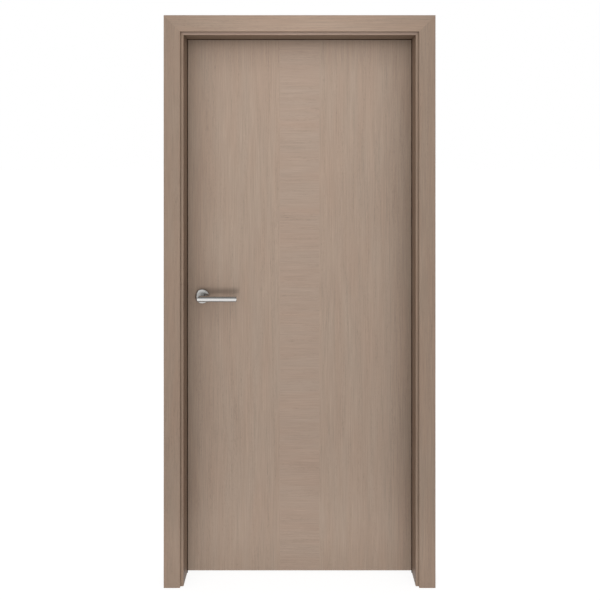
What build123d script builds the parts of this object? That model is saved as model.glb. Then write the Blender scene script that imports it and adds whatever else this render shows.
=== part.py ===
from build123d import *
import os

# An interior door set: a flush veneered leaf hung in a rebated timber frame with flat architraves.
# Millimetres. X runs across the doorway, Y through the wall and Z up from the finished floor.
# The origin is on the wall face of the hinge jamb, at the floor, half way through the wall.
# The leaf closes from the +Y side, so the -Y side shows a deep reveal and no hinges.

# Leaf
leaf_width = 870
leaf_height = 2030
leaf_thickness = 40
skin_thickness = 4
edge_band_thickness = 2
stile_width = 35
rail_height = 35
cross_band_width = 150
leaf_arris = 0.8

# Gaps round the leaf
leaf_gap = 5
floor_gap = 5
seal_gap = 8
stop_overlap = 8

# Frame
frame_depth = 125
jamb_thickness = 22
jamb_arris = 1.5
lip_width = 11
architrave_width = 60
architrave_thickness = 10
architrave_arris = 1.5
tongue_thickness = 4
tongue_length = 12
tongue_inset = 6
tongue_clearance = 0.2

# Seal
seal_bulb_width = 11
seal_bulb_clearance = 0.5
seal_wall = 1.3
seal_proud = 2
seal_corner_share = 0.35
seal_stem_width = 2.6
seal_stem_depth = 6
seal_kerf_clearance = 0.2

# Hinges
hinge_height = 100
hinge_reach = 30
hinge_plate_thickness = 2.5
hinge_corner = 9
hinge_standoff = 7.5
knuckle_radius = 6.5
knuckle_count = 5
knuckle_gap = 0.3
pin_radius = 3
pin_clearance = 0.06
pin_cap_radius = 5
pin_cap_height = 5
pin_cap_bevel = 2
hinge_seat_clearance = 0.1
hinge_screw_rows = 3
hinge_screw_end = 12
hinge_screw_near = 9
hinge_screw_far = 20
screw_hole_radius = 2.2
screw_head_radius = 4
bottom_hinge_height = 250
top_hinge_drop = 200

# Latch
backset = 65
handle_height = 1050
forend_width = 20
forend_height = 160
forend_thickness = 3
forend_screw_end = 11
case_thickness = 14
case_height = 80
case_tail = 22
latch_width = 12
latch_height = 32
latch_length = 30
latch_bevel = 10
latch_nose_share = 0.8
latch_clearance = 0.3
strike_thickness = 2
strike_width = 24
strike_bend = 6
strike_opening_margin = 2
strike_socket_depth = 14
lock_seat_clearance = 0.2

# Lever handle
lever_radius = 11
lever_reach = 136
lever_standoff = 54
lever_arris = 1.5
lever_seat = 1
rose_radius = 27
rose_rim_height = 7.5
rose_height = 9.5
rose_crown_radius = 14
rose_arris = 1
neck_clearance = 0.3
spindle_size = 8
spindle_grip = 30
spindle_end_gap = 1
spindle_hole_radius = 9

# Places worked out from the sizes above
front_y = -frame_depth / 2
back_y = frame_depth / 2
leaf_back_y = back_y
leaf_front_y = leaf_back_y - leaf_thickness
leaf_mid_y = leaf_back_y - leaf_thickness / 2
stop_y = leaf_front_y - seal_gap
leaf_bottom = floor_gap
leaf_top = floor_gap + leaf_height
rebate_width = stop_overlap + leaf_gap
outer_u = rebate_width + jamb_thickness
seal_mid_u = seal_bulb_width / 2 - seal_proud
clear_width = leaf_width - 2 * stop_overlap
clear_height = leaf_top - stop_overlap
hinge_stop_x = -outer_u
latch_stop_x = hinge_stop_x - clear_width
mid_x = (hinge_stop_x + latch_stop_x) / 2
leaf_hinge_x = hinge_stop_x + stop_overlap
leaf_latch_x = latch_stop_x - stop_overlap
axis_x = leaf_hinge_x + leaf_gap / 2
axis_y = back_y + hinge_standoff
spindle_x = leaf_latch_x + backset
mid_plane = Plane(origin=(mid_x, 0, 0), z_dir=(1, 0, 0))
match_tolerance = 0.01


def slab(x0, x1, y0, y1, z0, z1):
    # A block between two corners.
    return Pos((x0 + x1) / 2, (y0 + y1) / 2, (z0 + z1) / 2) * Box(x1 - x0, y1 - y0, z1 - z0)


def area(a0, a1, b0, b1):
    # A rectangle between two corners of a section.
    return Pos((a0 + a1) / 2, (b0 + b1) / 2) * Rectangle(a1 - a0, b1 - b0)


def ease(section, points, radius):
    # Rounds the corners of a section that lie at the given points.
    corners = [
        v for v in section.vertices()
        if any(abs(v.X - u) < match_tolerance and abs(v.Y - y) < match_tolerance for u, y in points)
    ]
    return fillet(corners, radius)


def mitred_run(section):
    # Carries one section up both sides and across the head, with mitred corners. In the section,
    # u runs outwards from the clear opening and y through the wall.
    reach = section.bounding_box().max.X + jamb_thickness
    mitre = Plane(origin=(hinge_stop_x, 0, clear_height), z_dir=(-1, 0, 1))
    upright = extrude(Pos(hinge_stop_x, 0, 0) * section, amount=clear_height + reach)
    hinge_side = split(upright, bisect_by=mitre, keep=Keep.BOTTOM)
    head_start = Plane(origin=(hinge_stop_x + reach, 0, clear_height), x_dir=(0, 0, 1), z_dir=(-1, 0, 0))
    head = extrude(head_start * section, amount=clear_width + 2 * reach)
    head = split(head, bisect_by=mitre, keep=Keep.TOP)
    head = split(head, bisect_by=Plane(origin=(latch_stop_x, 0, clear_height), z_dir=(1, 0, 1)), keep=Keep.TOP)
    return {"hinge": hinge_side, "latch": mirror(hinge_side, about=mid_plane), "head": head}


def tongue(extra):
    # The tongue of an architrave, or with extra its groove in the front edge of the jamb.
    u0 = outer_u - tongue_inset - tongue_thickness
    return area(u0 - extra, u0 + tongue_thickness + extra, front_y, front_y + tongue_length + extra)


def to_back(section):
    return mirror(section, about=Plane.XZ)


def jamb_section():
    board = ease(area(rebate_width, outer_u, front_y, back_y), [(rebate_width, back_y)], jamb_arris)
    groove = tongue(tongue_clearance)
    return board - groove - to_back(groove)


def stop_section():
    # The stop is planted on the jamb and has a kerf for the seal in its rear edge.
    board = ease(area(0, rebate_width, front_y, stop_y), [(0, front_y), (0, stop_y)], jamb_arris)
    kerf_half = seal_stem_width / 2 + seal_kerf_clearance
    kerf = area(
        seal_mid_u - kerf_half,
        seal_mid_u + kerf_half,
        stop_y - seal_stem_depth - seal_kerf_clearance,
        stop_y,
    )
    return board - kerf


def architrave_section(inner_u):
    board = area(inner_u, inner_u + architrave_width, front_y - architrave_thickness, front_y)
    arrises = [(u, front_y - architrave_thickness) for u in (inner_u, inner_u + architrave_width)]
    return ease(board, arrises, architrave_arris) + tongue(0)


def seal_section():
    # A hollow bulb against the leaf, on a stem pushed into the kerf of the stop. It stands a little
    # proud of the stop's face, where it shows as a dark line round the leaf.
    bulb_height = seal_gap - seal_bulb_clearance
    bulb_y = stop_y + bulb_height / 2
    middle = Pos(seal_mid_u, bulb_y)
    outer = middle * RectangleRounded(seal_bulb_width, bulb_height, bulb_height * seal_corner_share)
    hollow_width = seal_bulb_width - 2 * seal_wall
    hollow_height = bulb_height - 2 * seal_wall
    hollow = middle * RectangleRounded(hollow_width, hollow_height, hollow_height * seal_corner_share)
    stem = area(
        seal_mid_u - seal_stem_width / 2,
        seal_mid_u + seal_stem_width / 2,
        stop_y - seal_stem_depth,
        stop_y + seal_wall,
    )
    return outer + stem - hollow


def screw_hole(plane, thickness):
    # A countersunk hole through a plate. The plane lies on the plate's face and looks away from it.
    sink = screw_head_radius - screw_hole_radius
    hole = Pos(0, 0, -thickness / 2) * Cylinder(screw_hole_radius, thickness)
    hole += Pos(0, 0, -sink / 2) * Cone(screw_hole_radius, screw_head_radius, sink)
    return plane * hole


def hinge_outline(side, extra):
    # The let-in plate of one hinge half, side +1 on the jamb and -1 on the leaf, about the hinge axis.
    plane = Plane(origin=(side * leaf_gap / 2, 0, 0), x_dir=(0, 1, 0), z_dir=(1, 0, 0))
    y0 = -hinge_standoff - hinge_reach - extra
    y1 = -hinge_standoff
    half = hinge_height / 2 + extra
    outline = Pos((y0 + y1) / 2, 0) * Rectangle(y1 - y0, 2 * half)
    corners = [v for v in outline.vertices() if v.X < y1 - hinge_reach / 2]
    outline = fillet(corners, hinge_corner)
    return extrude(plane * outline, amount=side * hinge_plate_thickness)


def hinge_screws(side):
    # Two staggered columns of holes in the plate of one hinge half.
    pitch = (hinge_height - 2 * hinge_screw_end) / (hinge_screw_rows - 1)
    for i in range(hinge_screw_rows):
        inset = hinge_screw_near if i % 2 else hinge_screw_far
        place = (side * leaf_gap / 2, -hinge_standoff - inset, -hinge_height / 2 + hinge_screw_end + i * pitch)
        yield screw_hole(Plane(origin=place, z_dir=(-side, 0, 0)), hinge_plate_thickness)


def knuckle_span(i):
    # The end knuckles are flush with the plates, and the others part by a small gap.
    pitch = hinge_height / knuckle_count
    low = -hinge_height / 2 + i * pitch
    return (
        low + (knuckle_gap / 2 if i > 0 else 0),
        low + pitch - (knuckle_gap / 2 if i < knuckle_count - 1 else 0),
    )


def hinge_half(side):
    # A plate with its share of the knuckles, which the two halves take in turn.
    half = hinge_outline(side, 0)
    near, far = sorted([side * leaf_gap / 2, side * (leaf_gap / 2 + hinge_plate_thickness)])
    for i in range(0 if side > 0 else 1, knuckle_count, 2):
        z0, z1 = knuckle_span(i)
        half += slab(near, far, -hinge_standoff - knuckle_radius, 0, z0, z1)
        half += Pos(0, 0, (z0 + z1) / 2) * Cylinder(knuckle_radius, z1 - z0)
    for hole in hinge_screws(side):
        half -= hole
    return half - Cylinder(pin_radius + pin_clearance, hinge_height)


def hinge_pin():
    # The pin with a bevelled cap on each end knuckle.
    cap_z = hinge_height / 2
    pin = Cylinder(pin_radius, 2 * cap_z)
    for end in (1, -1):
        cap = Pos(0, 0, end * (cap_z + pin_cap_height / 2)) * Cylinder(pin_cap_radius, pin_cap_height)
        rim = cap.edges().filter_by(GeomType.CIRCLE).sort_by(Axis.Z)[-1 if end > 0 else 0]
        pin += chamfer(rim, pin_cap_bevel)
    return pin


def hinge_places():
    # The middle of each hinge on its axis, from the bottom up.
    low = leaf_bottom + bottom_hinge_height
    high = leaf_top - top_hinge_drop
    return {
        "bottom": Pos(axis_x, axis_y, low),
        "middle": Pos(axis_x, axis_y, (low + high) / 2),
        "top": Pos(axis_x, axis_y, high),
    }


def rounded_plate(x0, x1, width, height):
    # An upright plate with round ends, facing along X, centred on the latch.
    plane = Plane(origin=(x0, leaf_mid_y, handle_height), x_dir=(0, 1, 0), z_dir=(1, 0, 0))
    return extrude(plane * SlotOverall(height, width, rotation=90), amount=x1 - x0)


def latch_hole(x0, x1, margin):
    half_width = latch_width / 2 + margin
    half_height = latch_height / 2 + margin
    return slab(
        x0, x1,
        leaf_mid_y - half_width, leaf_mid_y + half_width,
        handle_height - half_height, handle_height + half_height,
    )


def lock_body():
    # The latch case with its forend let into the leaf's edge.
    forend = rounded_plate(leaf_latch_x, leaf_latch_x + forend_thickness, forend_width, forend_height)
    case = slab(
        leaf_latch_x + forend_thickness, spindle_x + case_tail,
        leaf_mid_y - case_thickness / 2, leaf_mid_y + case_thickness / 2,
        handle_height - case_height / 2, handle_height + case_height / 2,
    )
    bolt_way = latch_hole(leaf_latch_x, leaf_latch_x + latch_length, latch_clearance)
    body = forend + case - bolt_way - spindle_bore(spindle_hole_radius, leaf_front_y, leaf_back_y)
    for hole in forend_screws(leaf_latch_x, -1, forend_thickness):
        body -= hole
    return body


def lock_pocket():
    # The room that the case and its forend need in the leaf.
    c = lock_seat_clearance
    forend = rounded_plate(
        leaf_latch_x, leaf_latch_x + forend_thickness, forend_width + 2 * c, forend_height + 2 * c
    )
    case = slab(
        leaf_latch_x, spindle_x + case_tail + c,
        leaf_mid_y - case_thickness / 2 - c, leaf_mid_y + case_thickness / 2 + c,
        handle_height - case_height / 2 - c, handle_height + case_height / 2 + c,
    )
    return forend + case


def spindle_bore(radius, y0, y1):
    return Pos(spindle_x, (y0 + y1) / 2, handle_height) * Rot(90, 0, 0) * Cylinder(radius, y1 - y0)


def latch_bolt():
    # Drawn back flush with the forend. The bevel faces the side that meets the strike first.
    tip = leaf_latch_x
    bolt = latch_hole(tip, tip + latch_length, 0)
    y0 = leaf_mid_y - latch_width / 2
    wedge = Plane.XY * make_face(
        Polyline((tip, y0), (tip + latch_bevel, y0), (tip, y0 + latch_width * latch_nose_share), close=True)
    )
    return bolt - Pos(0, 0, handle_height - latch_height / 2) * extrude(wedge, amount=latch_height)


def forend_screws(x, facing, thickness):
    # One screw hole near each end of the forend or the strike.
    for end in (1, -1):
        z = handle_height + end * (forend_height / 2 - forend_screw_end)
        yield screw_hole(Plane(origin=(x, leaf_mid_y, z), z_dir=(facing, 0, 0)), thickness)


def strike_lead(rounded):
    # The lip that leads the latch in: flat to the back edge of the jamb, then bent round its corner.
    # Not rounded, it is the room that the lip takes from the jamb.
    x1 = latch_stop_x - rebate_width
    bend_y = back_y - strike_bend
    flat = area(x1 - strike_thickness, x1, leaf_mid_y, bend_y)
    corner = area(x1 - strike_bend, x1, bend_y, back_y)
    disc = Pos(x1 - strike_bend, bend_y)
    if rounded:
        corner = corner & (disc * Circle(strike_bend))
    corner -= disc * Circle(strike_bend - strike_thickness)
    return flat + corner


def strike_plate():
    # Let into the rebate of the latch jamb, with the lip across the latch's way in.
    x1 = latch_stop_x - rebate_width
    x0 = x1 - strike_thickness
    plate = rounded_plate(x0, x1, strike_width, forend_height)
    plate += Pos(0, 0, handle_height - latch_height / 2) * extrude(strike_lead(True), amount=latch_height)
    for hole in forend_screws(x1, 1, strike_thickness):
        plate -= hole
    return plate - latch_hole(x0, x1, strike_opening_margin)


def strike_recess():
    x1 = latch_stop_x - rebate_width
    x0 = x1 - strike_thickness
    c = lock_seat_clearance
    recess = rounded_plate(x0, x1, strike_width + 2 * c, forend_height + 2 * c)
    recess += Pos(0, 0, handle_height - latch_height / 2 - c) * extrude(
        strike_lead(False), amount=latch_height + 2 * c
    )
    return recess + latch_hole(x0 - strike_socket_depth, x0, strike_opening_margin)


def rose():
    # A disc with a plain rim and a dome that runs out level at the crown, bored for the lever's neck.
    bore = lever_radius + neck_clearance
    dome = TangentArc((rose_crown_radius, rose_height), (rose_radius, rose_rim_height), tangent=(1, 0))
    rest = Polyline(
        (rose_radius, rose_rim_height), (rose_radius, 0), (bore, 0), (bore, rose_height),
        (rose_crown_radius, rose_height),
    )
    disc = revolve(Plane.XZ * make_face([dome, rest]), axis=Axis.Z)
    rim = disc.edges().filter_by(GeomType.CIRCLE).filter_by(
        lambda e: abs(e.radius - rose_radius) < match_tolerance and e.center().Z > rose_rim_height / 2
    )
    return chamfer(rim, rose_arris)


def lever():
    # A round bar that stands straight out of the rose, turns a mitred corner and ends square.
    path = Polyline((0, 0, lever_seat), (0, 0, lever_standoff), (lever_reach, 0, lever_standoff))
    bar = sweep(Plane(origin=(0, 0, lever_seat)) * Circle(lever_radius), path=path, transition=Transition.RIGHT)
    tip = bar.faces().sort_by(Axis.X)[-1]
    bar = chamfer(tip.edges(), lever_arris)
    return bar - Pos(0, 0, lever_seat + spindle_grip / 2) * Box(spindle_size, spindle_size, spindle_grip)


def on_front(shape):
    # Stands a piece that was drawn upwards from z = 0 out of the front of the leaf, at the spindle.
    return Plane(
        origin=(spindle_x, leaf_front_y, handle_height), x_dir=(1, 0, 0), z_dir=(0, -1, 0)
    ).location * shape


def on_back(shape):
    # The same on the back of the leaf, as a mirror image of the front.
    return mirror(on_front(shape), about=Plane(origin=(0, leaf_mid_y, 0), z_dir=(0, 1, 0)))


def build_frame():
    jambs = mitred_run(jamb_section())
    for place in hinge_places().values():
        jambs["hinge"] -= place * hinge_outline(1, hinge_seat_clearance)
    jambs["latch"] -= strike_recess()
    parts = {f"{side}_jamb": piece for side, piece in jambs.items()}
    stop = mitred_run(stop_section())
    front = mitred_run(architrave_section(lip_width))
    back = mitred_run(to_back(architrave_section(rebate_width + lip_width)))
    seal = mitred_run(seal_section())
    for side in ("hinge", "latch", "head"):
        parts[f"{side}_stop"] = stop[side]
        parts[f"front_architrave_{side}"] = front[side]
        parts[f"back_architrave_{side}"] = back[side]
        parts[f"seal_{side}"] = seal[side]
    parts["strike_plate"] = strike_plate()
    return parts


def build_leaf():
    band_left = mid_x - cross_band_width / 2
    band_right = mid_x + cross_band_width / 2
    inner_latch = leaf_latch_x + edge_band_thickness
    inner_hinge = leaf_hinge_x - edge_band_thickness
    core_front = leaf_front_y + skin_thickness
    core_back = leaf_back_y - skin_thickness
    stile_latch = inner_latch + stile_width
    stile_hinge = inner_hinge - stile_width
    rail_top = leaf_top - rail_height
    rail_bottom = leaf_bottom + rail_height
    parts = {}
    fields = {"latch": (inner_latch, band_left), "middle": (band_left, band_right), "hinge": (band_right, inner_hinge)}
    for name, (x0, x1) in fields.items():
        parts[f"front_skin_{name}"] = slab(x0, x1, leaf_front_y, core_front, leaf_bottom, leaf_top)
        parts[f"back_skin_{name}"] = slab(x0, x1, core_back, leaf_back_y, leaf_bottom, leaf_top)
    parts["leaf_stile_latch"] = slab(inner_latch, stile_latch, core_front, core_back, leaf_bottom, leaf_top)
    parts["leaf_stile_hinge"] = slab(stile_hinge, inner_hinge, core_front, core_back, leaf_bottom, leaf_top)
    parts["leaf_rail_top"] = slab(stile_latch, stile_hinge, core_front, core_back, rail_top, leaf_top)
    parts["leaf_rail_bottom"] = slab(stile_latch, stile_hinge, core_front, core_back, leaf_bottom, rail_bottom)
    parts["leaf_core"] = slab(stile_latch, stile_hinge, core_front, core_back, rail_bottom, rail_top)
    parts["leaf_edge_latch"] = edge_band(leaf_latch_x, inner_latch)
    parts["leaf_edge_hinge"] = edge_band(leaf_hinge_x, inner_hinge)
    cuts = lock_pocket() + spindle_bore(spindle_hole_radius, leaf_front_y, leaf_back_y)
    for name in ("front_skin_latch", "back_skin_latch", "leaf_stile_latch", "leaf_edge_latch", "leaf_core"):
        parts[name] -= cuts
    for place in hinge_places().values():
        pocket = place * hinge_outline(-1, hinge_seat_clearance)
        for name in ("back_skin_hinge", "leaf_stile_hinge", "leaf_edge_hinge"):
            parts[name] -= pocket
    return parts


def edge_band(outer_x, inner_x):
    # The veneered lipping of a long edge, over the whole thickness of the leaf.
    x0, x1 = sorted((outer_x, inner_x))
    band = slab(x0, x1, leaf_front_y, leaf_back_y, leaf_bottom, leaf_top)
    outer = band.edges().filter_by(Axis.Z).group_by(Axis.X)[0 if outer_x < inner_x else -1]
    return fillet(outer, leaf_arris)


def build_ironmongery():
    parts = {}
    for name, place in hinge_places().items():
        parts[f"hinge_{name}_jamb_half"] = place * hinge_half(1)
        parts[f"hinge_{name}_leaf_half"] = place * hinge_half(-1)
        parts[f"hinge_{name}_pin"] = place * hinge_pin()
    parts["latch_case"] = lock_body()
    parts["latch_bolt"] = latch_bolt()
    for name, place in (("front", on_front), ("back", on_back)):
        parts[f"rose_{name}"] = place(rose())
        parts[f"lever_{name}"] = place(lever())
    spindle_end = lever_seat + spindle_grip - spindle_end_gap
    parts["spindle"] = slab(
        spindle_x - spindle_size / 2, spindle_x + spindle_size / 2,
        leaf_front_y - spindle_end, leaf_back_y + spindle_end,
        handle_height - spindle_size / 2, handle_height + spindle_size / 2,
    )
    return parts


def main():
    os.makedirs("parts", exist_ok=True)
    for parts in (build_frame(), build_leaf(), build_ironmongery()):
        for name, piece in parts.items():
            export_step(piece, f"parts/{name}.step")


main()
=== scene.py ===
import math

import bmesh
import bpy
from mathutils import Matrix, Vector


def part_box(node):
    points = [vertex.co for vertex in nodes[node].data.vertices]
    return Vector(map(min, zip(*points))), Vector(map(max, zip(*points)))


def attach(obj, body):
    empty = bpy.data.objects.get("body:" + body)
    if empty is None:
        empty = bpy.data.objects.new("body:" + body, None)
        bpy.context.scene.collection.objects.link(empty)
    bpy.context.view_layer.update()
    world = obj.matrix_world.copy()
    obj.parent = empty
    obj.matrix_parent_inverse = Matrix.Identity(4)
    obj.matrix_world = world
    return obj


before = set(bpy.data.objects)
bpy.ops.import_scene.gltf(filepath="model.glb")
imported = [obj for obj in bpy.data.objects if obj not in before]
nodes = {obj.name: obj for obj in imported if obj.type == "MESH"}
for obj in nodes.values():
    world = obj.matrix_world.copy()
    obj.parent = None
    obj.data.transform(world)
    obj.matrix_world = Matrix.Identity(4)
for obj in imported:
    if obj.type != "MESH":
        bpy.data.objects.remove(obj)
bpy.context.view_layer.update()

# Interior door in its frame: brown oak veneer, a rubber seal and stainless steel fittings.
# Metres. X runs across the doorway, Y through the wall, Z up. The front looks towards -Y.
print("frame loaded:", len(nodes), "nodes")


def addNode(tree, kind, inputs=None, **settings):
    # an input that is another node's output is linked, any other is set on the socket
    node = tree.nodes.new(kind)
    for key, value in settings.items():
        setattr(node, key, value)
    for key, value in (inputs or {}).items():
        if isinstance(value, bpy.types.NodeSocket):
            tree.links.new(value, node.inputs[key])
        else:
            node.inputs[key].default_value = value
    return node


floatSocket = "NodeSocketFloat"
colourSocket = "NodeSocketColor"
vectorSocket = "NodeSocketVector"
# rows that several groups share
placeIn = ("Vector", vectorSocket, None)
surfaceOut = [("Color", colourSocket), ("Roughness", floatSocket), ("Height", floatSocket)]
maskOut = [("Mask", floatSocket)]


def newGroup(name, inputs, outputs):
    # inputs are (name, type, first value) rows, outputs are (name, type) rows
    group = bpy.data.node_groups.new(name, "ShaderNodeTree")
    for label, kind, value in inputs:
        socket = group.interface.new_socket(name=label, in_out="INPUT", socket_type=kind)
        if value is not None:
            socket.default_value = value
    for label, kind in outputs:
        group.interface.new_socket(name=label, in_out="OUTPUT", socket_type=kind)
    source = group.nodes.new("NodeGroupInput")
    target = group.nodes.new("NodeGroupOutput")
    return group, source.outputs, target.inputs


def useGroup(tree, group, inputs):
    return addNode(tree, "ShaderNodeGroup", inputs, node_tree=group).outputs


def maths(tree, operation, a, b=0.0, clamp=False):
    return addNode(tree, "ShaderNodeMath", {0: a, 1: b}, operation=operation, use_clamp=clamp).outputs[0]


def plus(tree, a, b, clamp=False):
    return maths(tree, "ADD", a, b, clamp)


def minus(tree, a, b, clamp=False):
    return maths(tree, "SUBTRACT", a, b, clamp)


def times(tree, a, b):
    return maths(tree, "MULTIPLY", a, b)


def vectors(tree, operation, a, b=(0.0, 0.0, 0.0)):
    # lengths and dot products come out as numbers, all else as vectors
    node = addNode(tree, "ShaderNodeVectorMath", {0: a, 1: b}, operation=operation)
    return node.outputs["Value" if operation in ("LENGTH", "DOT_PRODUCT") else "Vector"]


def scaledBy(tree, colour, amount):
    node = addNode(tree, "ShaderNodeVectorMath", {0: colour, "Scale": amount}, operation="SCALE")
    return node.outputs["Vector"]


def partsOf(tree, vector):
    return addNode(tree, "ShaderNodeSeparateXYZ", {0: vector}).outputs


def noiseNode(tree, vector, counts, detail=2.0, roughness=0.5):
    # noise with its features counted per metre along each axis
    scaled = vectors(tree, "MULTIPLY", vector, counts)
    return addNode(tree, "ShaderNodeTexNoise", {
        "Vector": scaled, "Scale": 1.0, "Detail": detail, "Roughness": roughness}).outputs


def noiseAt(tree, vector, counts, detail=2.0, roughness=0.5):
    return noiseNode(tree, vector, counts, detail, roughness)["Fac"]


def ramped(tree, value, low, high, outLow=0.0, outHigh=1.0):
    return addNode(tree, "ShaderNodeMapRange", {
        "Value": value, "From Min": low, "From Max": high, "To Min": outLow, "To Max": outHigh},
        clamp=True).outputs["Result"]


noiseLow, noiseMiddle, noiseHigh = 0.3, 0.5, 0.7 # most of a noise lies between the outer two


def noiseTo(tree, noise, outLow, outHigh):
    return ramped(tree, noise, noiseLow, noiseHigh, outLow, outHigh)


def mixed(tree, factor, a, b):
    return addNode(tree, "ShaderNodeMix", {0: factor, 6: a, 7: b}, data_type="RGBA").outputs[2]


def rgba(colour):
    return (*colour, 1.0)


# counts are features per metre along X, Y and Z; an edge is the two levels that a mask changes between
oakFigure = {
    "driftCounts": (5.0, 5.0, 0.9), "driftReach": (0.004, 0.004, 0.0),
    "streakCounts": (430.0, 430.0, 7.0), "lineCounts": (900.0, 900.0, 20.0), "cloudCounts": (9.0, 9.0, 1.6),
    "tintCounts": (24.0, 24.0, 3.1), "hue": (0.498, 0.502), "saturation": (1.04, 0.96),
    "poreCounts": (1500.0, 1500.0, 60.0), "poreEdge": (0.58, 0.68),
    "bandCounts": (60.0, 60.0, 2.2), "bandEdge": (0.42, 0.6),
    "rough": (0.46, 0.58), "poreRough": 0.15, "lineHeight": 0.35, "poreDepth": 0.8,
}


def makeOakGrain():
    # Straight oak figure with its length along Z: soft streaks, finer lines and short open pores.
    look = oakFigure
    group, given, out = newGroup("oakGrain", [
        placeIn, ("Base Color", colourSocket, (0.3, 0.25, 0.2, 1)),
        ("Streaks", floatSocket, 0.5), ("Fine Lines", floatSocket, 0.3),
        ("Clouds", floatSocket, 0.2), ("Pores", floatSocket, 0.3),
    ], surfaceOut)
    # a slow sideways drift keeps the lines from being ruled
    drift = noiseNode(group, given["Vector"], look["driftCounts"], detail=1.0)["Color"]
    vector = vectors(group, "ADD", given["Vector"], vectors(group, "MULTIPLY", drift, look["driftReach"]))
    streaks = noiseAt(group, vector, look["streakCounts"])
    lines = noiseAt(group, vector, look["lineCounts"], roughness=0.6)
    clouds = noiseAt(group, vector, look["cloudCounts"])
    tint = noiseAt(group, vector, look["tintCounts"], detail=1.0)
    # the pores come in bands
    bands = ramped(group, noiseAt(group, vector, look["bandCounts"], detail=1.0), *look["bandEdge"])
    pores = ramped(group, noiseAt(group, vector, look["poreCounts"], detail=1.0), *look["poreEdge"])
    pores = times(group, pores, bands)
    tone = 1.0
    for value, amount in ((streaks, "Streaks"), (lines, "Fine Lines"), (clouds, "Clouds")):
        tone = plus(group, times(group, minus(group, value, noiseMiddle), given[amount]), tone)
    tone = minus(group, tone, times(group, pores, given["Pores"]))
    tinted = addNode(group, "ShaderNodeHueSaturation", {
        "Hue": noiseTo(group, tint, *look["hue"]), "Saturation": noiseTo(group, tint, *look["saturation"]),
        "Color": scaledBy(group, given["Base Color"], tone)}).outputs["Color"]
    group.links.new(tinted, out["Color"])
    rough = plus(group, noiseTo(group, lines, *look["rough"]), times(group, pores, look["poreRough"]))
    group.links.new(rough, out["Roughness"])
    height = minus(group, times(group, lines, look["lineHeight"]), times(group, pores, look["poreDepth"]))
    group.links.new(height, out["Height"])
    return group


fibreFigure = {
    "feltCounts": (900.0, 900.0, 700.0), "feltTone": (0.82, 1.14),
    "cloudCounts": (45.0, 45.0, 30.0), "cloudTone": (-0.07, 0.07),
    "fleckCount": 420.0, "fleckEdge": (0.1, 0.24),
}


def makeBoardFibre():
    # The cut face of fibreboard: a felt of fine fibres with darker flecks.
    look = fibreFigure
    group, given, out = newGroup("boardFibre", [
        placeIn, ("Base Color", colourSocket, (0.4, 0.28, 0.17, 1)), ("Flecks", floatSocket, 0.35),
    ], [("Color", colourSocket), ("Height", floatSocket)])
    felt = noiseAt(group, given["Vector"], look["feltCounts"], detail=3.0, roughness=0.7)
    cloud = noiseAt(group, given["Vector"], look["cloudCounts"])
    fleck = addNode(group, "ShaderNodeTexVoronoi", {"Vector": given["Vector"], "Scale": look["fleckCount"]})
    flecks = ramped(group, fleck.outputs["Distance"], *look["fleckEdge"], 1.0, 0.0)
    tone = plus(group, noiseTo(group, felt, *look["feltTone"]), noiseTo(group, cloud, *look["cloudTone"]))
    tone = minus(group, tone, times(group, flecks, given["Flecks"]))
    group.links.new(scaledBy(group, given["Base Color"], tone), out["Color"])
    group.links.new(felt, out["Height"])
    return group


pineFigure = {
    "ringsAlongX": 210.0, "ringsAlongY": 90.0, "bendCounts": (11.0, 11.0, 2.0), "bend": 9.0,
    "lateSharpness": 3.0, "lateShare": 0.75, "lateHeight": 0.4,
    "fibreCounts": (1300.0, 1300.0, 35.0), "fibreTone": (0.86, 1.1), "rough": (0.72, 0.6),
}


def makePineGrain():
    # Softwood cut along its length (Z): pale early wood with harder orange lines.
    look = pineFigure
    group, given, out = newGroup("pineGrain", [
        placeIn, ("Base Color", colourSocket, (0.55, 0.4, 0.24, 1)),
        ("Late Wood", colourSocket, (0.36, 0.2, 0.09, 1)),
    ], surfaceOut)
    bend = noiseAt(group, given["Vector"], look["bendCounts"])
    parts = partsOf(group, given["Vector"])
    ringsX = times(group, parts["X"], look["ringsAlongX"])
    ringsY = times(group, parts["Y"], look["ringsAlongY"])
    phase = plus(group, plus(group, ringsX, ringsY), times(group, bend, look["bend"]))
    rings = maths(group, "FRACT", phase)
    late = maths(group, "POWER", rings, look["lateSharpness"])
    fibre = noiseAt(group, given["Vector"], look["fibreCounts"], roughness=0.6)
    wood = mixed(group, times(group, late, look["lateShare"]), given["Base Color"], given["Late Wood"])
    group.links.new(scaledBy(group, wood, noiseTo(group, fibre, *look["fibreTone"])), out["Color"])
    group.links.new(noiseTo(group, fibre, *look["rough"]), out["Roughness"])
    group.links.new(plus(group, times(group, late, look["lateHeight"]), fibre), out["Height"])
    return group


brushFigure = {
    "lineCounts": (3600.0, 3600.0, 45.0), "broadCounts": (500.0, 500.0, 12.0),
    "lineShare": 0.6, "broadShare": 0.4, "roughEdge": (0.35, 0.65),
}


def makeBrushedMetal():
    # Fine brush lines along Z, from a noise that is stretched a long way.
    look = brushFigure
    group, given, out = newGroup("brushedMetal", [
        placeIn, ("Base Color", colourSocket, (0.6, 0.6, 0.59, 1)), ("Lines", floatSocket, 0.12),
        ("Rough Low", floatSocket, 0.22), ("Rough High", floatSocket, 0.34),
    ], surfaceOut)
    lines = noiseAt(group, given["Vector"], look["lineCounts"], roughness=0.65)
    broad = noiseAt(group, given["Vector"], look["broadCounts"], detail=1.0)
    tone = plus(group, 1.0, times(group, minus(group, lines, noiseMiddle), given["Lines"]))
    group.links.new(scaledBy(group, given["Base Color"], tone), out["Color"])
    both = plus(group, times(group, lines, look["lineShare"]), times(group, broad, look["broadShare"]))
    rough = ramped(group, both, *look["roughEdge"], given["Rough Low"], given["Rough High"])
    group.links.new(rough, out["Roughness"])
    group.links.new(lines, out["Height"])
    return group


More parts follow.
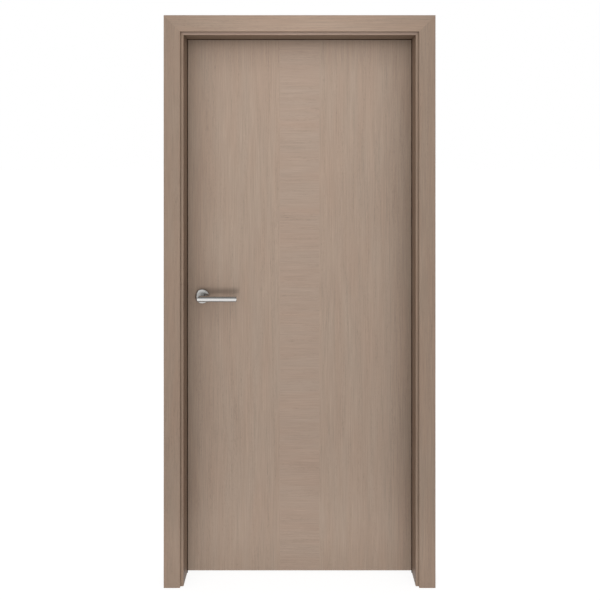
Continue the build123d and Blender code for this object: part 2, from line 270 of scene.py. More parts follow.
wearFigure = {
    "samples": 4, "turnEdge": (0.995, 0.86), "patchCounts": (70.0, 70.0, 70.0), "patchEdge": (0.42, 0.6),
}


def makeEdgeWear():
    # A mask that is 1 on arrises, broken up along their length.
    look = wearFigure
    group, given, out = newGroup("edgeWear", [
        placeIn, ("Width", floatSocket, 0.001), ("Breaks", floatSocket, 0.4),
    ], maskOut)
    rounded = addNode(group, "ShaderNodeBevel", {"Radius": given["Width"]}, samples=look["samples"])
    flat = addNode(group, "ShaderNodeNewGeometry")
    turn = vectors(group, "DOT_PRODUCT", rounded.outputs["Normal"], flat.outputs["Normal"])
    edge = ramped(group, turn, *look["turnEdge"])
    patchy = noiseAt(group, given["Vector"], look["patchCounts"], detail=3.0, roughness=0.6)
    keep = minus(group, 1.0, times(group, ramped(group, patchy, *look["patchEdge"]), given["Breaks"]))
    group.links.new(times(group, edge, keep), out["Mask"])
    return group


paintedShadeFigure = {"samples": 8, "patchCounts": (26.0, 26.0, 26.0)}


def makePaintedCornerShade():
    # Painted shade: a mask from ambient occlusion that deepens towards inner corners and recesses, broken up
    # in patches; it darkens the base colour there.
    look = paintedShadeFigure
    group, given, out = newGroup("paintedCornerShade", [
        placeIn, ("Reach", floatSocket, 0.06), ("Breaks", floatSocket, 0.2), ("Rise", floatSocket, 0.1),
    ], maskOut)
    clear = addNode(group, "ShaderNodeAmbientOcclusion", {
        "Distance": given["Reach"]}, samples=look["samples"]).outputs["AO"]
    closed = minus(group, 1.0, clear)
    patchy = noiseAt(group, given["Vector"], look["patchCounts"], detail=3.0, roughness=0.6)
    keep = minus(group, 1.0, times(group, patchy, given["Breaks"]))
    # the painted shade is kept off the floor: the mask comes in over the first stretch above it
    above = maths(group, "DIVIDE", partsOf(group, given["Vector"])["Z"], given["Rise"], clamp=True)
    group.links.new(times(group, times(group, closed, keep), above), out["Mask"])
    return group


def makeSideFacing():
    # A mask for the side of a piece that faces one way; Normal is taken in the piece's own axes.
    group, given, out = newGroup("sideFacing", [
        ("Normal", vectorSocket, None), ("Towards", vectorSocket, None),
        ("Start", floatSocket, 0.4), ("Full", floatSocket, 0.8),
    ], maskOut)
    reach = vectors(group, "DOT_PRODUCT", given["Normal"], given["Towards"])
    group.links.new(ramped(group, reach, given["Start"], given["Full"]), out["Mask"])
    return group


marksFigure = {
    "detail": 4.0, "roughness": 0.6, "distortion": 0.6,
    "speckCounts": (520.0, 520.0, 520.0), "speckEdge": (0.6, 0.75), "patchEdge": (0.45, 0.65),
}


def makeHandMarks():
    # Faint wiped patches and specks of dust: Marks alters the gloss, Dust the colour.
    look = marksFigure
    group, given, out = newGroup("handMarks", [
        placeIn, ("Size", floatSocket, 12.0), ("Gloss Swing", floatSocket, 0.06),
    ], [("Marks", floatSocket), ("Dust", floatSocket)])
    wiped = addNode(group, "ShaderNodeTexNoise", {
        "Vector": given["Vector"], "Scale": given["Size"], "Detail": look["detail"],
        "Roughness": look["roughness"], "Distortion": look["distortion"]}).outputs["Fac"]
    group.links.new(times(group, minus(group, wiped, noiseMiddle), given["Gloss Swing"]), out["Marks"])
    specks = noiseAt(group, given["Vector"], look["speckCounts"])
    dust = times(group, ramped(group, specks, *look["speckEdge"]), ramped(group, wiped, *look["patchEdge"]))
    group.links.new(dust, out["Dust"])
    return group


away = 10.0 # a distance that no piece reaches


def makeCutSide():
    # A mask for the faces that show bare board: past a plane, under one height or over another.
    group, given, out = newGroup("cutSide", [
        placeIn, ("Towards", vectorSocket, None), ("From", floatSocket, 0.0),
        ("Bottom", floatSocket, 0.0), ("Top", floatSocket, away),
    ], maskOut)
    reach = vectors(group, "DOT_PRODUCT", given["Vector"], given["Towards"])
    height = partsOf(group, given["Vector"])["Z"]
    beyond = maths(group, "GREATER_THAN", reach, given["From"])
    under = maths(group, "LESS_THAN", height, given["Bottom"])
    over = maths(group, "GREATER_THAN", height, given["Top"])
    anyOf = maths(group, "MAXIMUM", beyond, maths(group, "MAXIMUM", under, over))
    group.links.new(anyOf, out["Mask"])
    return group


oakGrain = makeOakGrain()
boardFibre = makeBoardFibre()
pineGrain = makePineGrain()
brushedMetal = makeBrushedMetal()
edgeWear = makeEdgeWear()
paintedCornerShade = makePaintedCornerShade()
sideFacing = makeSideFacing()
handMarks = makeHandMarks()
cutSide = makeCutSide()
print("shader groups built")


def newMaterial(name, settings):
    # settings go straight onto the shader's own sockets
    material = bpy.data.materials.new(name)
    material.use_nodes = True
    tree = material.node_tree
    shader = tree.nodes["Principled BSDF"]
    for key, value in settings.items():
        shader.inputs[key].default_value = value
    place = tree.nodes.new("ShaderNodeTexCoord").outputs["Object"]
    return material, tree, shader, place


def addBump(tree, shader, height, look):
    bump = addNode(tree, "ShaderNodeBump", {
        "Strength": look["bump"], "Distance": look["bumpHeight"], "Height": height})
    tree.links.new(bump.outputs["Normal"], shader.inputs["Normal"])


def turned(tree, place, angles, ownShift):
    # the place with its axes turned, after a shift by an amount of its own on each piece
    shift = times(tree, tree.nodes.new("ShaderNodeObjectInfo").outputs["Random"], ownShift)
    moved = vectors(tree, "ADD", place, shift)
    mapping = addNode(tree, "ShaderNodeMapping", {"Vector": moved, "Rotation": angles}, vector_type="POINT")
    return mapping.outputs["Vector"]


def facingSide(tree, towards, edge):
    normal = tree.nodes.new("ShaderNodeTexCoord").outputs["Normal"]
    start, full = edge
    return useGroup(tree, sideFacing, {
        "Normal": normal, "Towards": towards, "Start": start, "Full": full})["Mask"]


def addDust(tree, place, colour, look):
    # gives the dusty colour, and the marks that alter the gloss
    marks = useGroup(tree, handMarks, {
        "Vector": place, "Size": look["markSize"], "Gloss Swing": look["markGloss"]})
    dusty = mixed(tree, times(tree, marks["Dust"], look["dust"]), colour, rgba(look["dustTone"]))
    return dusty, marks["Marks"]


# turns that lay a grain along Z, X or Y
upright = (0.0, 0.0, 0.0)
alongX = (0.0, math.pi / 2, 0.0)
alongY = (math.pi / 2, 0.0, 0.0)

veneerLook = {
    "leafTone": (0.323, 0.242, 0.186), "bandTone": (0.325, 0.242, 0.188),
    # the head's architrave tone is painted light: paler than the side architraves, for the light from above
    "frameTone": (0.265, 0.191, 0.142), "headPaintedLightTone": (0.291, 0.211, 0.158),
    "jambTone": (0.3, 0.216, 0.161),
    # the stops' tones are painted shade: darker than the jambs for the recess they stand in, the head's stop
    # darker still
    "stopPaintedShadeTone": (0.196, 0.131, 0.091), "headStopPaintedShadeTone": (0.167, 0.113, 0.078),
    # the lips' tones are painted light: paler, for the front edge that faces the lamps
    "lipPaintedLightTone": (0.27, 0.194, 0.143), "headLipPaintedLightTone": (0.292, 0.211, 0.169), "paintedLightEdge": (0.6, 0.9),
    "streaks": 0.46, "fineLines": 0.36, "clouds": 0.08, "pores": 0.22,
    # painted shade in inner corners and recesses: share and reach for architraves and leaf, jambs and stops,
    # then its dark tone
    "paintedShade": (0.8, 0.14), "jambPaintedShade": (0.12, 0.11), "stopPaintedShade": (0.9, 0.012), # share and reach
    "paintedShadeTone": (0.07, 0.042, 0.025), "paintedShadeRise": 0.32, "paintedShadeBreaks": 0.2,
    "wearWidth": 0.0011, "wearLift": 0.35, "wearBreaks": 0.5, "wearPaler": 1.6, "wearGloss": 0.08,
    "markSize": 9.0, "markGloss": 0.14, "dust": 0.08, "dustTone": (0.55, 0.52, 0.48),
    "boardTone": (0.36, 0.24, 0.14), "boardRough": 0.3,
    "specular": 0.35, "ownShift": 7.0, "bump": 0.5, "bumpHeight": 0.00022,
}


def makeVeneer(
        name, tone, angles, bottom, top=away, towards=(0, 0, 0), start=away, paintedShadeKind="paintedShade", lip=None):
    look = veneerLook
    material, tree, shader, place = newMaterial(name, {"Specular IOR Level": look["specular"]})
    ground = rgba(tone)
    if lip:
        # painted light: the narrow edge that faces the room gets the paler lip tone
        ground = mixed(tree, facingSide(tree, (0, -1, 0), look["paintedLightEdge"]), rgba(tone), rgba(lip))
    grain = useGroup(tree, oakGrain, {
        "Vector": turned(tree, place, angles, look["ownShift"]), "Base Color": ground,
        "Streaks": look["streaks"], "Fine Lines": look["fineLines"],
        "Clouds": look["clouds"], "Pores": look["pores"]})
    board = useGroup(tree, boardFibre, {"Vector": place, "Base Color": rgba(look["boardTone"])})
    bare = useGroup(tree, cutSide, {
        "Vector": place, "Towards": towards, "From": start, "Bottom": bottom, "Top": top})["Mask"]
    wear = useGroup(tree, edgeWear, {
        "Vector": place, "Width": look["wearWidth"], "Breaks": look["wearBreaks"]})["Mask"]
    paler = rgba([channel * look["wearPaler"] for channel in tone])
    worn = mixed(tree, times(tree, wear, look["wearLift"]), grain["Color"], paler)
    dusty, marks = addDust(tree, place, worn, look)
    dressed = mixed(tree, bare, dusty, board["Color"])
    # painted shade: the colour is darkened towards inner corners and recesses
    share, reach = look[paintedShadeKind]
    paintedShade = useGroup(tree, paintedCornerShade, {
        "Vector": place, "Reach": reach, "Breaks": look["paintedShadeBreaks"], "Rise": look["paintedShadeRise"]})["Mask"]
    dressed = mixed(tree, times(tree, paintedShade, share), dressed, rgba(look["paintedShadeTone"]))
    tree.links.new(dressed, shader.inputs["Base Color"])
    rough = plus(tree, grain["Roughness"], marks)
    rough = minus(tree, rough, times(tree, wear, look["wearGloss"]))
    rough = plus(tree, rough, times(tree, bare, look["boardRough"]), clamp=True)
    tree.links.new(rough, shader.inputs["Roughness"])
    heights = {0: bare, 2: grain["Height"], 3: board["Height"]}
    height = addNode(tree, "ShaderNodeMix", heights, data_type="FLOAT").outputs[0]
    addBump(tree, shader, height, look)
    return material


pineLook = {
    "tone": (0.52, 0.37, 0.215), "specular": 0.3, "ownShift": 3.0, "bump": 0.5, "bumpHeight": 0.0003,
    "markSize": 14.0, "markGloss": 0.1, "dust": 0.2, "dustTone": (0.7, 0.66, 0.58),
}


def makePine(name, angles):
    look = pineLook
    material, tree, shader, place = newMaterial(name, {"Specular IOR Level": look["specular"]})
    pine = useGroup(tree, pineGrain, {
        "Vector": turned(tree, place, angles, look["ownShift"]), "Base Color": rgba(look["tone"])})
    dusty, marks = addDust(tree, place, pine["Color"], look)
    tree.links.new(dusty, shader.inputs["Base Color"])
    tree.links.new(plus(tree, pine["Roughness"], marks), shader.inputs["Roughness"])
    addBump(tree, shader, pine["Height"], look)
    return material


chipboardLook = {
    "chipCount": 260.0, "chipTones": ((0.3, 0.19, 0.1), (0.62, 0.46, 0.28)), "chipShare": 0.55,
    "boardTone": (0.5, 0.38, 0.25), "flecks": 0.2, "chipReach": 0.5, "rough": (0.62, 0.85),
    "specular": 0.25, "bump": 0.6, "bumpHeight": 0.0005,
}


def makeChipboard(name):
    look = chipboardLook
    material, tree, shader, place = newMaterial(name, {"Specular IOR Level": look["specular"]})
    chips = addNode(tree, "ShaderNodeTexVoronoi", {"Vector": place, "Scale": look["chipCount"]})
    tones = addNode(tree, "ShaderNodeValToRGB", {"Fac": chips.outputs["Color"]})
    for element, tone in zip(tones.color_ramp.elements, look["chipTones"]):
        element.color = rgba(tone)
    board = useGroup(tree, boardFibre, {
        "Vector": place, "Base Color": rgba(look["boardTone"]), "Flecks": look["flecks"]})
    colour = mixed(tree, look["chipShare"], board["Color"], tones.outputs["Color"])
    tree.links.new(colour, shader.inputs["Base Color"])
    rough = ramped(tree, chips.outputs["Distance"], 0.0, look["chipReach"], *look["rough"])
    tree.links.new(rough, shader.inputs["Roughness"])
    addBump(tree, shader, chips.outputs["Distance"], look)
    return material


sealLook = {
    "tone": (0.02, 0.008, 0.003), "bloom": (0.04, 0.022, 0.013), "bloomEdge": (0.45, 0.75), "bloomShare": 0.4,
    "lineCounts": (1800.0, 1800.0, 14.0), "cloudCounts": (160.0, 160.0, 26.0), "rough": (0.5, 0.66),
    "markSize": 20.0, "markGloss": 0.16, "dust": 0.35, "dustTone": (0.4, 0.37, 0.33),
    "specular": 0.12, "ownShift": 2.0, "bump": 0.35, "bumpHeight": 0.00015,
}


def makeRubber(name, angles):
    # extruded rubber: faint lines along its length and a paler bloom in patches
    look = sealLook
    material, tree, shader, place = newMaterial(name, {"Specular IOR Level": look["specular"]})
    along = turned(tree, place, angles, look["ownShift"])
    drawn = noiseAt(tree, along, look["lineCounts"])
    cloud = noiseAt(tree, along, look["cloudCounts"], detail=3.0, roughness=0.6)
    bloom = ramped(tree, cloud, *look["bloomEdge"], 0.0, look["bloomShare"])
    colour = mixed(tree, bloom, rgba(look["tone"]), rgba(look["bloom"]))
    dusty, marks = addDust(tree, place, colour, look)
    tree.links.new(dusty, shader.inputs["Base Color"])
    rough = plus(tree, noiseTo(tree, drawn, *look["rough"]), marks)
    tree.links.new(rough, shader.inputs["Roughness"])
    addBump(tree, shader, drawn, look)
    return material


steelLook = {
    "wearWidth": 0.0006, "wearBreaks": 0.4, "wearAndHighlightTone": (0.78, 0.77, 0.75), "wearGloss": 0.06,
    "underTone": (0.13, 0.12, 0.11), "underEdge": (0.35, 0.85), "turnLength": 0.01,
    "markSize": 38.0, "markGloss": 0.16, "dust": 0.12, "dustTone": (0.42, 0.4, 0.37),
    "ownShift": 1.0, "bump": 0.22, "bumpHeight": 0.00006,
}
steelFinish = {
    # the handle's under share is a painted dark reflection on the lever's underside
    "handle": {"tone": (0.7, 0.69, 0.675), "lines": 0.16, "rough": (0.13, 0.22), "wear": 0.5, "under": 0.85},
    # the rose's tone is painted shade: half the lever's, for the shadow and dark reflection the lever throws
    # on it
    "rose": {
        # the ring is a painted highlight at the rose's rim
        "tone": (0.35, 0.345, 0.337), "lines": 0.3, "rough": (0.2, 0.3), "wear": 0.4, "ring": (0.017, 0.021)},
    "hinge": {"tone": (0.47, 0.465, 0.45), "lines": 0.3, "rough": (0.2, 0.34), "wear": 0.6},
    "latch": {"tone": (0.58, 0.565, 0.54), "lines": 0.14, "rough": (0.24, 0.38), "wear": 0.5},
    "screw": {"tone": (0.64, 0.63, 0.61), "lines": 0.1, "rough": (0.2, 0.3), "wear": 0.5},
}


def unrolled(tree, place, centre):
    # the distance from an axis along Y through the centre, the place along it, and the way round it
    offset = vectors(tree, "SUBTRACT", place, centre)
    radius = vectors(tree, "LENGTH", vectors(tree, "MULTIPLY", offset, (1, 0, 1)))
    parts = partsOf(tree, offset)
    angle = maths(tree, "ARCTAN2", parts["Z"], parts["X"])
    around = addNode(tree, "ShaderNodeCombineXYZ", {
        "X": radius, "Y": parts["Y"], "Z": times(tree, angle, steelLook["turnLength"])})
    return around.outputs[0], radius


def makeSteel(name, finishName, angles, centre=None):
    # with a centre, the brush lines run in rings round it
    look = steelLook
    finish = steelFinish[finishName]
    material, tree, shader, place = newMaterial(name, {"Metallic": 1.0})
    if centre is None:
        along = turned(tree, place, angles, look["ownShift"])
    else:
        along, radius = unrolled(tree, place, centre)
    roughLow, roughHigh = finish["rough"]
    metal = useGroup(tree, brushedMetal, {
        "Vector": along, "Base Color": rgba(finish["tone"]), "Lines": finish["lines"],
        "Rough Low": roughLow, "Rough High": roughHigh})
    wear = useGroup(tree, edgeWear, {
        "Vector": place, "Width": look["wearWidth"], "Breaks": look["wearBreaks"]})["Mask"]
    if "ring" in finish:
        # painted highlight: the outer ring of a rose is painted pale with the wear tone
        wear = maths(tree, "MAXIMUM", wear, ramped(tree, radius, *finish["ring"]))
    bright = mixed(tree, times(tree, wear, finish["wear"]), metal["Color"], rgba(look["wearAndHighlightTone"]))
    if "under" in finish:
        # painted reflection: the underside of a lever is painted dark, for the dark surroundings it would
        # reflect
        paintedUnderside = times(tree, facingSide(tree, (0, 0, -1), look["underEdge"]), finish["under"])
        bright = mixed(tree, paintedUnderside, bright, rgba(look["underTone"]))
    dusty, marks = addDust(tree, place, bright, look)
    tree.links.new(dusty, shader.inputs["Base Color"])
    rough = plus(tree, metal["Roughness"], marks)
    rough = minus(tree, rough, times(tree, wear, look["wearGloss"]), clamp=True)
    tree.links.new(rough, shader.inputs["Roughness"])
    addBump(tree, shader, metal["Height"], look)
    return material


skin = 0.00006 # the bare board begins this far inside a cut face
finished = set()


def finishNode(name, material):
    mesh = nodes[name].data
    for index in range(len(mesh.materials)):
        mesh.materials[index] = material
    finished.add(name)


def dressFrame():
    wallX = {"hinge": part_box("hinge_jamb")[1].x, "latch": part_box("latch_jamb")[0].x}
    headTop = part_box("head_jamb")[1].z
    frontY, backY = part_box("hinge_jamb")[0].y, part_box("hinge_jamb")[1].y
    # the way to the wall, how far that way the cut face lies, the grain's angles,
    # and the tones of architrave, stop and lip; the stop tones hold painted shade, the lip tones and the
    # head's architrave tone painted light
    sideTones = ("frameTone", "stopPaintedShadeTone", "lipPaintedLightTone")
    sides = {
        "hinge": ((1, 0, 0), wallX["hinge"] - skin, upright, sideTones),
        "latch": ((-1, 0, 0), -wallX["latch"] - skin, upright, sideTones),
        "head": ((0, 0, 1), headTop - skin, alongX, ("headPaintedLightTone", "headStopPaintedShadeTone", "headLipPaintedLightTone")),
    }
    faces = {"front": ((0, 1, 0), frontY - skin), "back": ((0, -1, 0), -backY - skin)}
    for side, (outwards, cut, angles, toneNames) in sides.items():
        tone, stopPaintedShadeTone, lipPaintedLightTone = [veneerLook[toneName] for toneName in toneNames]
        jamb = makeVeneer(
            f"{side}JambOak", veneerLook["jambTone"], angles, bottom=skin, towards=outwards, start=cut,
            paintedShadeKind="jambPaintedShade")
        finishNode(f"{side}_jamb", jamb)
        stop = makeVeneer(
            f"{side}StopOak", stopPaintedShadeTone, angles, bottom=skin, paintedShadeKind="stopPaintedShade", lip=lipPaintedLightTone)
        finishNode(f"{side}_stop", stop)
        for face, (inwards, edge) in faces.items():
            board = makeVeneer(
                f"{face}{side.title()}Architrave", tone, angles, bottom=skin, towards=inwards, start=edge)
            finishNode(f"{face}_architrave_{side}", board)
        finishNode(f"seal_{side}", makeRubber(f"{side}SealRubber", angles))


def dressLeaf():
    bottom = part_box("leaf_edge_latch")[0].z + skin
    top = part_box("leaf_edge_latch")[1].z - skin
    field = makeVeneer("leafOak", veneerLook["leafTone"], upright, bottom=bottom, top=top)
    band = makeVeneer("bandOak", veneerLook["bandTone"], alongX, bottom=bottom, top=top)
    for face in ("front", "back"):
        finishNode(f"{face}_skin_latch", field)
        finishNode(f"{face}_skin_hinge", field)
        finishNode(f"{face}_skin_middle", band)
    stile = makePine("stilePine", upright)
    rail = makePine("railPine", alongX)
    for side in ("latch", "hinge"):
        finishNode(f"leaf_edge_{side}", field)
        finishNode(f"leaf_stile_{side}", stile)
    for end in ("top", "bottom"):
        finishNode(f"leaf_rail_{end}", rail)
    finishNode("leaf_core", makeChipboard("coreChipboard"))


def dressMetal():
    spindleLow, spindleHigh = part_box("spindle")
    spindleAxis = (spindleLow + spindleHigh) / 2
    hinge = makeSteel("hingeSteel", "hinge", upright)
    for place in ("bottom", "middle", "top"):
        for half in ("jamb_half", "leaf_half", "pin"):
            finishNode(f"hinge_{place}_{half}", hinge)
    latch = makeSteel("latchSteel", "latch", upright)
    for name in ("latch_case", "latch_bolt", "strike_plate"):
        finishNode(name, latch)
    bar = makeSteel("leverSteel", "handle", alongX)
    rose = makeSteel("roseSteel", "rose", upright, tuple(spindleAxis))
    for face in ("front", "back"):
        finishNode(f"lever_{face}", bar)
        finishNode(f"rose_{face}", rose)
    finishNode("spindle", makeSteel("spindleSteel", "latch", alongY))


dressFrame()
dressLeaf()
dressMetal()
print("nodes finished:", len(finished), "left:", sorted(set(nodes) - finished))


def circlePoint(radius, angle):
    return radius * math.cos(angle), radius * math.sin(angle)


def addRing(bm, radius, height, count):
    return [bm.verts.new((*circlePoint(radius, 2 * math.pi * i / count), height)) for i in range(count)]


def joinRings(bm, a, b):
    count = len(a)
    for i in range(count):
        bm.faces.new((a[i], a[(i + 1) % count], b[(i + 1) % count], b[i]))


def crossOutline(reach, width):
    half = width / 2
    arm = [(reach, -half), (reach, half), (half, half)]
    return [
        (x * c - y * s, x * s + y * c)
        for c, s in ((1, 0), (0, 1), (-1, 0), (0, -1))
        for x, y in arm
    ]


def hexOutline(reach):
    return [circlePoint(reach, math.pi * i / 3) for i in range(6)]


def addScrew(bm, matrix, look, outline):
    # rings run from the lip down to the foot; the lip lies in the XY plane and looks along Z
    part = bmesh.new()
    rings = [addRing(part, radius, height, look["segments"]) for radius, height in look["rings"]]
    for upper, lower in zip(rings, rings[1:]):
        joinRings(part, lower, upper)
    part.faces.new(list(reversed(rings[-1])))
    upper = [part.verts.new((x, y, 0.0)) for x, y in outline]
    taper = look["recessTaper"]
    lower = [part.verts.new((x * taper, y * taper, -look["recessDepth"])) for x, y in outline]
    edges = []
    for ring in (rings[0], upper):
        for i, vert in enumerate(ring):
            following = ring[(i + 1) % len(ring)]
            edges.append(part.edges.get((vert, following)) or part.edges.new((vert, following)))
    bmesh.ops.triangle_fill(part, use_beauty=True, use_dissolve=False, edges=edges)
    joinRings(part, upper, lower)
    part.faces.new(lower)
    bmesh.ops.recalc_face_normals(part, faces=part.faces)
    bmesh.ops.transform(part, matrix=matrix, verts=part.verts)
    mesh = bpy.data.meshes.new("screwPart")
    part.to_mesh(mesh)
    part.free()
    bm.from_mesh(mesh)
    bpy.data.meshes.remove(mesh)


def facing(point, direction, turn):
    # a place whose Z looks along the direction
    spin = Vector(direction).to_track_quat("Z", "Y").to_matrix().to_4x4()
    return Matrix.Translation(Vector(point)) @ spin @ Matrix.Rotation(turn, 4, "Z")


def addPiece(name, bm, material, body):
    mesh = bpy.data.meshes.new(name)
    bm.to_mesh(mesh)
    bm.free()
    mesh.materials.append(material)
    piece = bpy.data.objects.new(name, mesh)
    bpy.context.scene.collection.objects.link(piece)
    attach(piece, body)


screwLook = {
    "rings": ((0.00362, 0.0), (0.0038, -0.00012), (0.002, -0.0017), (0.0019, -0.0045)), # radius and height
    "crossReach": 0.0023, "crossWidth": 0.00085, "recessDepth": 0.0013, "recessTaper": 0.45,
    "sink": 0.00015, "firstTurn": 0.4, "nextTurn": 1.9, "segments": 32,
}


def addScrewSet(name, spots, direction, material, body):
    bm = bmesh.new()
    sink = Vector(direction) * screwLook["sink"]
    cross = crossOutline(screwLook["crossReach"], screwLook["crossWidth"])
    for index, spot in enumerate(spots):
        turn = screwLook["firstTurn"] + screwLook["nextTurn"] * index
        addScrew(bm, facing(Vector(spot) - sink, direction, turn), screwLook, cross)
    addPiece(name, bm, material, body)


# the rows of holes in a hinge plate, from its ends and from its front edge
hingeLook = {"rows": 3, "end": 0.012, "outerRow": 0.010, "middleRow": 0.021}


def addHingeScrews():
    steel = makeSteel("hingeScrewSteel", "screw", upright)
    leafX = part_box("leaf_edge_hinge")[1].x
    for place in ("bottom", "middle", "top"):
        pinLow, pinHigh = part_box(f"hinge_{place}_pin")
        axisX = (pinLow.x + pinHigh.x) / 2
        for half, body, side in (("jamb_half", "frame", 1), ("leaf_half", "leaf", -1)):
            low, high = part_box(f"hinge_{place}_{half}")
            pitch = (high.z - low.z - 2 * hingeLook["end"]) / (hingeLook["rows"] - 1)
            faceX = axisX + side * (axisX - leafX)
            spots = []
            for row in range(hingeLook["rows"]):
                inset = hingeLook["middleRow"] if row % 2 else hingeLook["outerRow"]
                spots.append((faceX, low.y + inset, low.z + hingeLook["end"] + row * pitch))
            addScrewSet(f"hinge_{place}_{half}_screws", spots, (-side, 0, 0), steel, body)


plateLook = {"end": 0.011} # from the forend's ends; the strike plate's holes are level with its own


def addLatchScrews():
    steel = makeSteel("latchScrewSteel", "screw", upright)
    caseLow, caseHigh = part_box("latch_case")
    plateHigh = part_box("strike_plate")[1]
    midY = (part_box("leaf_edge_latch")[0].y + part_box("leaf_edge_latch")[1].y) / 2
    heights = (caseLow.z + plateLook["end"], caseHigh.z - plateLook["end"])
    for name, faceX, way, body in (
            ("forend_screws", caseLow.x, -1, "leaf"), ("strike_screws", plateHigh.x, 1, "frame")):
        addScrewSet(name, [(faceX, midY, z) for z in heights], (way, 0, 0), steel, body)


grubLook = {
    "rings": ((0.0021, 0.0), (0.0024, -0.0003), (0.0024, -0.0018)), # radius and height
    "hexReach": 0.0013, "recessDepth": 0.0011, "recessTaper": 1.0,
    "proud": 0.0003, "fromRose": 0.009, "turn": 0.2, "segments": 32,
}


def addGrubScrews():
    # one under each lever's neck, close to the rose
    steel = makeSteel("grubScrewSteel", "screw", upright)
    low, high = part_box("spindle")
    for face, noseY, outwards in (
            ("front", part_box("rose_front")[0].y, -1), ("back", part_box("rose_back")[1].y, 1)):
        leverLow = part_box(f"lever_{face}")[0]
        spot = ((low.x + high.x) / 2, noseY + outwards * grubLook["fromRose"], leverLow.z - grubLook["proud"])
        bm = bmesh.new()
        addScrew(bm, facing(spot, (0, 0, -1), grubLook["turn"]), grubLook, hexOutline(grubLook["hexReach"]))
        addPiece(f"lever_{face}_grub_screw", bm, steel, "handle")


addHingeScrews()
addLatchScrews()
addGrubScrews()
print("screws added")

white = (1.0, 1.0, 1.0, 1.0)


def whiteForLens(tree):
    # 1 for rays from the camera and for those that metal and glass send on
    path = tree.nodes.new("ShaderNodeLightPath").outputs
    lens = maths(tree, "MAXIMUM", path["Is Camera Ray"], path["Is Glossy Ray"])
    return maths(tree, "MAXIMUM", lens, path["Is Transmission Ray"])


worldLook = {
    "even": 0.54, "frontAndBack": 0.34,
    "ceilingEdge": (0.3, 0.55), "ceilingLevel": 0.22, "sideEdge": (-0.08, 0.06), "sideLevel": 0.6,
}


def makeWorld():
    world = bpy.data.worlds.new("studioWorld")
    bpy.context.scene.world = world
    world.use_nodes = True
    tree = world.node_tree
    tree.nodes.clear()
    place = tree.nodes.new("ShaderNodeTexCoord").outputs["Generated"]
    parts = partsOf(tree, place)
    facingWall = times(tree, maths(tree, "ABSOLUTE", parts["Y"]), worldLook["frontAndBack"])
    level = plus(tree, facingWall, worldLook["even"])
    dome = addNode(tree, "ShaderNodeBackground", {"Color": white, "Strength": level})
    # metal sees the studio grow darker overhead and to the right; the camera sees plain white
    ceiling = ramped(tree, parts["Z"], *worldLook["ceilingEdge"], 1.0, worldLook["ceilingLevel"])
    side = ramped(tree, parts["X"], *worldLook["sideEdge"], 1.0, worldLook["sideLevel"])
    camera = tree.nodes.new("ShaderNodeLightPath").outputs["Is Camera Ray"]
    room = addNode(tree, "ShaderNodeBackground", {
        "Color": white, "Strength": maths(tree, "MAXIMUM", camera, times(tree, ceiling, side))})
    both = addNode(tree, "ShaderNodeMixShader", {
        0: whiteForLens(tree), 1: dome.outputs[0], 2: room.outputs[0]})
    out = tree.nodes.new("ShaderNodeOutputWorld")
    tree.links.new(both.outputs[0], out.inputs["Surface"])


floorLook = {"size": 400.0, "tone": (0.92, 0.92, 0.92), "faintTone": (0.22, 0.22, 0.22), "glow": 0.88}


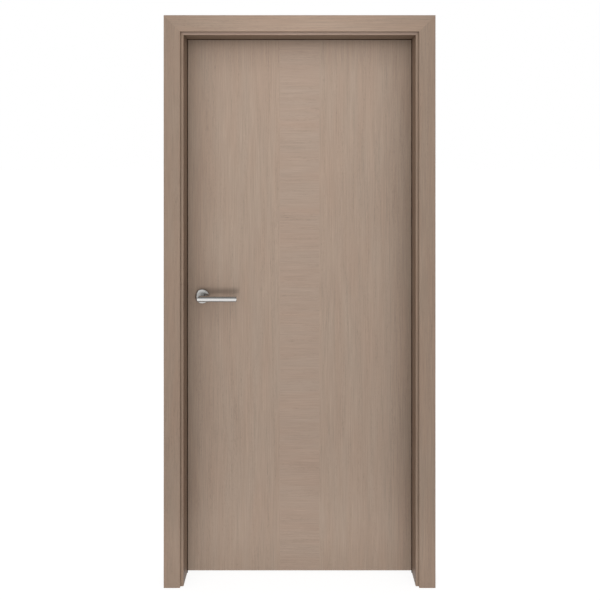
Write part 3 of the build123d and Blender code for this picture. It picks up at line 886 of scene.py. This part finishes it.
def makeFloor():
    # pale floor that stays white in the picture and still takes a share of the shadow
    half = floorLook["size"] / 2
    bm = bmesh.new()
    corners = ((-half, -half), (half, -half), (half, half), (-half, half))
    bm.faces.new([bm.verts.new((x, y, 0.0)) for x, y in corners])
    mesh = bpy.data.meshes.new("studioFloor")
    bm.to_mesh(mesh)
    bm.free()
    material = bpy.data.materials.new("floorPaper")
    material.use_nodes = True
    tree = material.node_tree
    tree.nodes.clear()
    paper = addNode(tree, "ShaderNodeBsdfDiffuse", {"Color": rgba(floorLook["tone"])})
    shade = addNode(tree, "ShaderNodeBsdfDiffuse", {"Color": rgba(floorLook["faintTone"])})
    glow = addNode(tree, "ShaderNodeEmission", {"Color": white, "Strength": floorLook["glow"]})
    seen = addNode(tree, "ShaderNodeAddShader", {0: shade.outputs[0], 1: glow.outputs[0]})
    both = addNode(tree, "ShaderNodeMixShader", {
        0: whiteForLens(tree), 1: paper.outputs[0], 2: seen.outputs[0]})
    out = tree.nodes.new("ShaderNodeOutputMaterial")
    tree.links.new(both.outputs[0], out.inputs["Surface"])
    mesh.materials.append(material)
    floor = bpy.data.objects.new("studioFloor", mesh)
    bpy.context.scene.collection.objects.link(floor)


lampLook = {
    "key": {
        "power": 10.5, "size": (0.7, 0.7), "spread": 1.75,
        "place": (-0.7, -2.4, 0.22), "aim": (-0.55, 0.0, 1.55)},
    "top": {
        "power": 2.75, "size": (0.45, 0.45), "spread": math.pi,
        "place": (-0.46, -0.8, 2.14), "aim": (-0.46, 0.0, 2.0)},
    "foot": {
        "power": 0.55, "size": (1.2, 0.08), "spread": math.pi,
        "place": (-0.46, -0.32, 0.05), "aim": (-0.46, 0.0, 0.03)},
    "back": {
        "power": 22.0, "size": (1.2, 1.2), "spread": math.pi,
        "place": (-0.3, 2.5, 1.3), "aim": (-0.46, 0.0, 1.05)},
}


def addSoftLight(name, look):
    data = bpy.data.lights.new(name, "AREA")
    data.shape = "RECTANGLE"
    data.size, data.size_y = look["size"]
    data.spread = look["spread"]
    data.energy = look["power"]
    light = bpy.data.objects.new(name, data)
    light.location = look["place"]
    light.rotation_mode = "QUATERNION"
    light.rotation_quaternion = (Vector(look["aim"]) - Vector(look["place"])).to_track_quat("-Z", "Y")
    light.visible_camera = False
    light.visible_glossy = False
    bpy.context.scene.collection.objects.link(light)


cameraLook = {
    "place": (-0.4605, -2.4225, 1.547), "lens": 38.51, "sensor": 36.0,
    "pictureSize": 600, "eyeRow": 165.55, # the picture's row at the height of the camera
}


def addCamera():
    data = bpy.data.cameras.new("roomCamera")
    data.lens = cameraLook["lens"]
    data.sensor_width = cameraLook["sensor"]
    data.shift_y = -(cameraLook["pictureSize"] / 2 - cameraLook["eyeRow"]) / cameraLook["pictureSize"]
    camera = bpy.data.objects.new("roomCamera", data)
    camera.location = cameraLook["place"]
    camera.rotation_euler = (math.pi / 2, 0.0, 0.0)
    bpy.context.scene.collection.objects.link(camera)
    bpy.context.scene.camera = camera


makeWorld()
makeFloor()
for lamp, look in lampLook.items():
    addSoftLight(f"{lamp}Light", look)
addCamera()
bpy.context.scene.view_settings.view_transform = "Standard"
print("studio ready")
